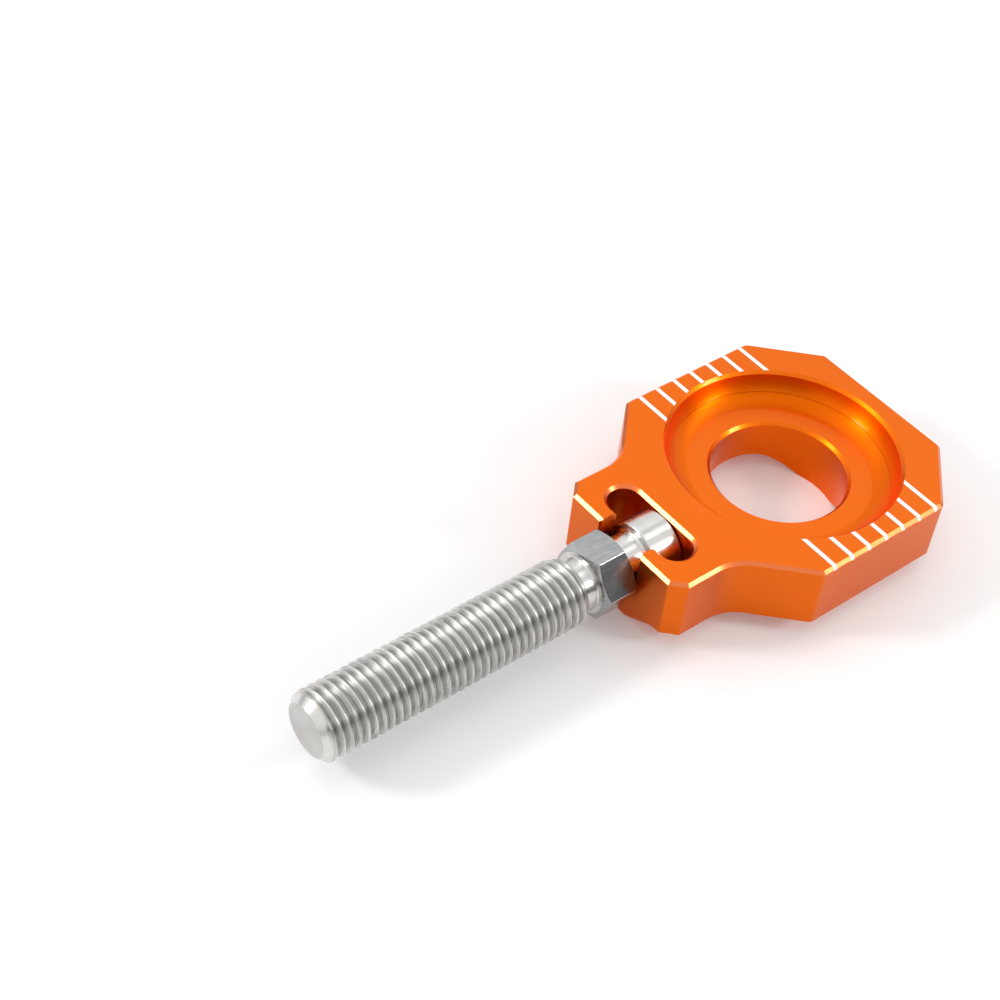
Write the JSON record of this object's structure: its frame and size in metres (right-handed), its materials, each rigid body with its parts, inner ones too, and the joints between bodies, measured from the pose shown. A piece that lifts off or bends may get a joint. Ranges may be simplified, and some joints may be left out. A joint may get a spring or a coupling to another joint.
{
  "type": "motorcycle chain adjuster",
  "caption": "Orange anodised axle block with a coved recess and scale marks, and a steel adjuster bolt whose round head sits in the block's open T-slot.",
  "frame": {"origin": "where the axle bore's axis crosses the adjuster bolt's axis, half way through the flange", "axes": "+X along the bolt to its free end, +Z along the bore out of the flat outer face, +Y across the block"},
  "size_m": [0.1019, 0.041, 0.013],
  "materials": {
    "anodised_orange": "orange anodised, satin",
    "turned_steel": "bright turned",
    "white_paint": "white paint fill"
  },
  "bodies": {
    "block": {"axle_block": "anodised_orange", "scale_marks": "white_paint"},
    "bolt": {"adjuster_bolt": "turned_steel"}
  },
  "joints": [
    {"name": "bolt_spin", "type": "hinge", "parent": "block", "child": "bolt", "pos_m": [0.0256, 0, 0], "axis": [1, 0, 0], "continuous": true}
  ]
}
